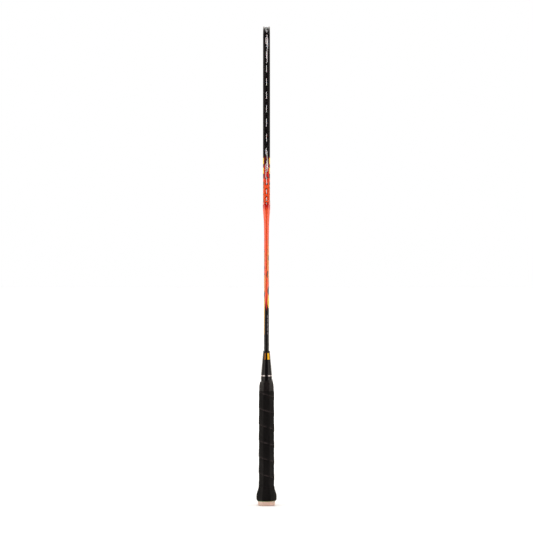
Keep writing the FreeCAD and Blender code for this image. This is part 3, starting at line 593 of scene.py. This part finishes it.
def grid_piece(name, columns, slot, sharp):
    """Closed mesh from columns of (x, y, z, painted edge highlight), each joined to the next and its end to
    its start.
    """
    mesh = bmesh.new()
    edge_shine = mesh.verts.layers.float.new(EDGE_HIGHLIGHT)
    rows = len(columns[0])
    verts = []
    for column in columns:
        verts.append([mesh.verts.new(Vector(place[:3]) * MM) for place in column])
        for vert, place in zip(verts[-1], column):
            vert[edge_shine] = place[3]
    for left, right in zip(verts, verts[1:]):
        for row in range(rows):
            below = (row + 1) % rows
            mesh.faces.new((left[row], left[below], right[below], right[row]))
    bmesh.ops.remove_doubles(mesh, verts=mesh.verts, dist=WELD * MM)
    bmesh.ops.dissolve_degenerate(mesh, edges=mesh.edges, dist=SPECK * MM)
    bmesh.ops.recalc_face_normals(mesh, faces=mesh.faces)
    data = bpy.data.meshes.new(name)
    mesh.to_mesh(data)
    mesh.free()
    data.shade_smooth()
    data.set_sharp_from_angle(angle=math.radians(sharp))
    data.materials.append(MATERIALS[slot])
    piece = bpy.data.objects.new(name, data)
    bpy.context.scene.collection.objects.link(piece)
    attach(piece, "root")
    return piece


# ---------------------------------------------------------------- wrapped grip
FLARE_SHAPE = [(z, HALF_DEPTH + (FLARE - HALF_DEPTH) * grown) for z, grown in (
    # height, and how much of the flare is reached there
    (WRAP_LOW.z, 0.60), (7.9, 0.835), (9.2, 0.945), (11.0, 1.0), (14.0, 0.945), (17.0, 0.74),
    (20.5, 0.44), (23.5, 0.23), (FLARE_TOP, 0.135))]
TOP_SHAPE = [
    # height, and what the half width and the half depth gain there
    (STRAIGHT_HIGH, 0.0, 0.0), (162.0, -0.3, -0.3), (167.0, -1.2, -0.5), (WRAP_HIGH.z, -2.3, -1.2),
]
TOP_ROWS = 6
FLARE_ROWS = 24
TURN_ROWS = [
    # heights above a turn's lower edge, close together where the relief is steep
    0.0, 0.12, 0.3, 0.55, 0.9, 1.4, 2.2, 3.4, 4.8, 5.8, 6.8, 8.2, 10.5, 13.5, 16.5, 19.0, 20.8, 21.8,
    22.3, 22.6]
LAP_RISE = 0.34               # the double layer stands out by this, up to LAP_FULL above a turn's edge
LAP_FULL = 4.2
LAP_FADE = 6.0
SEAM_DEPTH = 0.30             # the strip dips by this at its lower edge, and below the next one
EDGE_ROUND = 0.7
SEAM_DIP = 1.8                # width of the dip below the next edge
RELIEF_FADE = 1.2             # the relief fades over this at both ends of the straight part
LIP_OFF_CONE = 0.6            # from the cone to the inside of the wrap's upper lip
LIP_WIDER = 0.3


def seam_relief(height, along_strip):
    """Relief of the strip at a height above its lower edge; it laps over the turn below it."""
    wobble = 0.07 * noise.noise(Vector((along_strip * 9.0, height * 0.12, 3.0)))
    lap = LAP_RISE * (1 - smooth_between(height, LAP_FULL, LAP_FULL + LAP_FADE))
    edge = smooth_between(height, 0.0, EDGE_ROUND) ** 0.5
    dip = SEAM_DEPTH * smooth_between(height, SEAM_PITCH - SEAM_DIP, SEAM_PITCH)
    return lap * edge - SEAM_DEPTH * (1 - edge) - dip + wobble


def wrap_column(index, share):
    """Points of the wrap down one line, outside and then back up inside, a share of the way round."""
    column = []
    mirrored = 2 * abs(share - 0.5)

    def add(z, half_depth, wider, outward, edge_shine=0.0):
        point, normal = octagon(half_depth + wider, half_depth, CORNER)[index]
        place = point + normal * outward
        column.append((place.x, place.y, z, edge_shine))

    for step in range(TOP_ROWS + 1):
        z = WRAP_HIGH.z + (STRAIGHT_HIGH - WRAP_HIGH.z) * step / TOP_ROWS
        sideways, depthways = along(TOP_SHAPE, z)
        add(z, HALF_DEPTH + depthways, WIDER + sideways - depthways, 0.0)
    turn = 1
    while SEAM_Z + SEAM_PITCH * (turn + 1) > STRAIGHT_LOW:
        for height in reversed(TURN_ROWS):
            z = SEAM_Z + SEAM_PITCH * turn + height - SEAM_PITCH * share
            held = min(STRAIGHT_HIGH, max(STRAIGHT_LOW, z))
            fade = smooth_between(held, STRAIGHT_LOW, STRAIGHT_LOW + RELIEF_FADE)
            fade *= 1 - smooth_between(held, STRAIGHT_HIGH - RELIEF_FADE, STRAIGHT_HIGH)
            # how much painted highlight this point gets: most just above the turn's lower edge
            edge_shine = fade * smooth_between(height, 0.1, 0.5) * (1 - smooth_between(height, 0.9, 2.6))
            add(held, HALF_DEPTH, WIDER, fade * seam_relief(height, turn - share), edge_shine)
        turn -= 1
    for step in range(FLARE_ROWS + 1):
        z = FLARE_TOP + (WRAP_LOW.z - FLARE_TOP) * step / FLARE_ROWS
        half_depth = along(FLARE_SHAPE, z)[0]
        crease = 0.10 * noise.noise(Vector((mirrored * 7.0, z * 0.09, 8.0)))
        add(z, half_depth, WIDER, crease * smooth_between(z, 8.0, 10.0))
    for z, half_depth in [(WRAP_LOW.z, TRIM_HIGH.y - WRAP_THICK), (STRAIGHT_LOW, HALF_DEPTH - WRAP_THICK),
                          (STRAIGHT_HIGH, HALF_DEPTH - WRAP_THICK)]:
        add(z, half_depth, WIDER, 0.0)
    add(WRAP_HIGH.z, CONE_RADIUS + LIP_OFF_CONE, LIP_WIDER, 0.0)
    return column


def grip():
    reference = octagon(HALF_DEPTH + WIDER, HALF_DEPTH, CORNER)
    count = len(reference)
    columns = [wrap_column(index % count, share) for index, share in enumerate(fractions(reference))]
    piece = grid_piece("grip", columns, "grip_cushion", 50)
    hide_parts("grip_wrap")


# ---------------------------------------------------------------- finishing tape
TAPE_THICK = 0.25
TAPE_ROWS = 26
TAPE_OFF_WRAP = 0.04
TAPE_ON_CONE = CONE_RADIUS + 0.26
TAPE_SHAPE = [
    # height, half width, half depth, corner radius
    (TAPE_LOW.z, HALF_DEPTH + WIDER + TAPE_OFF_WRAP, HALF_DEPTH + TAPE_OFF_WRAP, 1.6),
    (164.5, 11.75, 10.62, 2.2),
    (167.5, 11.2, 10.42, 3.2),
    (170.5, 10.55, 10.1, 4.6),
    (173.5, 9.6, 9.4, 6.4),
    (176.5, 8.5, 8.45, 8.0),
    (TAPE_HIGH.z, TAPE_ON_CONE, TAPE_ON_CONE, 8.1),
]
TAPE_PRESSED = 0.12           # how far the tape is pressed in below that shape
TAPE_RIDGES = 0.12
TAPE_LAP = 0.10               # its end laps over its start and stands out by this
TAPE_LAP_Z = 6.2              # height of that step above the tape's lower edge, at the axis
TAPE_LAP_SLANT = 2.2


def tape_column(index, share):
    """Points of the tape down one line outside, then back up inside."""
    outside, inside = [], []
    angle = 2 * math.pi * share
    top = min(TAPE_HIGH.z, TAPE_EDGE + TAPE_SLOPE * CONE_RADIUS * math.sin(angle))
    step_z = TAPE_LAP_Z + TAPE_LAP_SLANT * math.sin(angle)
    for row in range(TAPE_ROWS + 1):
        z = top + (TAPE_LOW.z - top) * row / TAPE_ROWS
        width, depth, corner = along(TAPE_SHAPE, z)
        point, normal = octagon(width, depth, corner)[index]
        ridge = noise.noise(Vector((math.cos(angle) * 2.2, math.sin(angle) * 2.2, z * 0.35)))
        ridge *= TAPE_RIDGES * smooth_between(z, TAPE_LOW.z, TAPE_LOW.z + 2)
        lap = TAPE_LAP * smooth_between(z - TAPE_LOW.z, step_z, step_z + 0.2)
        place = point + normal * (ridge + lap - TAPE_PRESSED)
        outside.append((place.x, place.y, z, 0.0))
        skin = point - normal * TAPE_THICK
        inside.append((skin.x, skin.y, z, 0.0))
    return outside + inside[::-1]


def tape():
    reference = octagon(HALF_DEPTH + WIDER, HALF_DEPTH, CORNER)
    shares = [math.atan2(place.y, place.x) / (2 * math.pi) % 1.0 for place, _ in reference] + [1.0]
    count = len(reference)
    columns = [tape_column(index % count, share) for index, share in enumerate(shares)]
    piece = grid_piece("tape", columns, "tape_film", 40)
    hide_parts("finishing_tape")


# ---------------------------------------------------------------- kept CAD nodes
def paint_nodes():
    for part in frame["record"]["subparts"]:
        node = NODES[part["node"]]
        node.data.materials.clear()
        node.data.materials.append(MATERIALS[part["material_slot"]])


paint_nodes()
grip()
tape()


# ---------------------------------------------------------------- stage, in metres
CAMERA_DISTANCE = 3.0
CAMERA_HEIGHT = 0.3368
CAMERA_LENS = 143.5           # this and the sensor's width are the camera's own millimetres
CAMERA_SENSOR = 36.0
FLOOR_REACH = 30.0
FLOOR_BELOW = 0.0002          # gap between the racket's lowest point and the floor
LIGHT_DISTANCE = 3.0
LIGHT_HEIGHT = 1.2
LIGHT_SIZE = 2.0
LIGHT_WATTS = 26.0
OVERHEAD_STRENGTH = 2.4
OVERHEAD_SPREAD = 60          # degrees
WALL_LEVELS = [
    # how far sideways a direction points, and the brightness there
    (0.0, 0.01), (0.50, 0.01), (0.66, 1.3), (0.92, 1.3), (0.985, 0.4), (1.0, 0.3),
]
WALL_TINT = (1.0, 0.93, 0.84)
BACK_WALL = (1.0, 0.95, 0.9, 1)
BACK_WALL_FROM = -0.78        # X of the directions where the wall behind starts and is full
BACK_WALL_FULL = -0.94


def floor():
    data = bpy.data.meshes.new("floor")
    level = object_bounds()[0].z - FLOOR_BELOW
    corners = [(-1, -1), (1, -1), (1, 1), (-1, 1)]
    data.from_pydata([(FLOOR_REACH * x, FLOOR_REACH * y, level) for x, y in corners], [], [(0, 1, 2, 3)])
    paint = Paint("floor_paper", {"Roughness": 0.9, "Specular IOR Level": 0.1})
    paint.set("Base Color", paint.mix(paint.noise(0.004, 2.0), (0.93, 0.93, 0.93, 1), (0.96, 0.96, 0.96, 1)))
    data.materials.append(paint.material)
    sheet = bpy.data.objects.new("floor", data)
    sheet.visible_glossy = False
    bpy.context.scene.collection.objects.link(sheet)
    sheet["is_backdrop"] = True


def soft_light(name, x):
    """Square soft light aimed at the middle of the racket; it doesn't show in the gloss."""
    data = bpy.data.lights.new(name, "AREA")
    data.size = LIGHT_SIZE
    data.energy = LIGHT_WATTS
    light = bpy.data.objects.new(name, data)
    light.location = (x, 0.0, LIGHT_HEIGHT)
    aim = Vector((0, 0, CAMERA_HEIGHT)) - light.location
    light.rotation_euler = aim.to_track_quat("-Z", "Y").to_euler()
    light.visible_glossy = False
    bpy.context.scene.collection.objects.link(light)


def overhead():
    """Even light from straight above, mostly for the floor."""
    data = bpy.data.lights.new("overhead", "SUN")
    data.energy = OVERHEAD_STRENGTH
    data.angle = math.radians(OVERHEAD_SPREAD)
    light = bpy.data.objects.new("overhead", data)
    light.visible_glossy = False
    bpy.context.scene.collection.objects.link(light)


def studio():
    """Bright walls to the two sides and behind, dark elsewhere; the camera itself sees plain white."""
    world = bpy.data.worlds.new("studio")
    world.use_nodes = True
    world.node_tree.nodes.clear()
    tree = Tree(world.node_tree)
    direction = tree.node("SeparateXYZ", {0: tree.node("TexCoord", {}).outputs["Generated"]})
    sideways = tree.math("ABSOLUTE", direction.outputs["Y"])
    walls = tree.ramp(sideways, [(place, tuple(level * part for part in WALL_TINT) + (1,))
                                 for place, level in WALL_LEVELS])
    behind = tree.rise(direction.outputs["X"], BACK_WALL_FROM, BACK_WALL_FULL)
    walls = tree.mix(behind, walls, BACK_WALL)
    lit = tree.node("Background", {"Color": walls})
    seen = tree.node("Background", {"Color": (1, 1, 1, 1)})
    path = tree.node("LightPath", {})
    both = tree.node("MixShader", {0: path.outputs["Is Camera Ray"], 1: lit.outputs[0], 2: seen.outputs[0]})
    tree.node("OutputWorld", {"Surface": both.outputs[0]})
    bpy.context.scene.world = world


def camera():
    data = bpy.data.cameras.new("camera")
    data.lens = CAMERA_LENS
    data.sensor_width = CAMERA_SENSOR
    made = bpy.data.objects.new("camera", data)
    made.location = (CAMERA_DISTANCE, 0, CAMERA_HEIGHT)
    made.rotation_euler = (math.radians(90), 0, math.radians(90))
    bpy.context.scene.collection.objects.link(made)
    bpy.context.scene.camera = made


floor()
soft_light("front", LIGHT_DISTANCE)
soft_light("back", -LIGHT_DISTANCE)
overhead()
studio()
camera()
bpy.context.scene.view_settings.view_transform = "Standard"
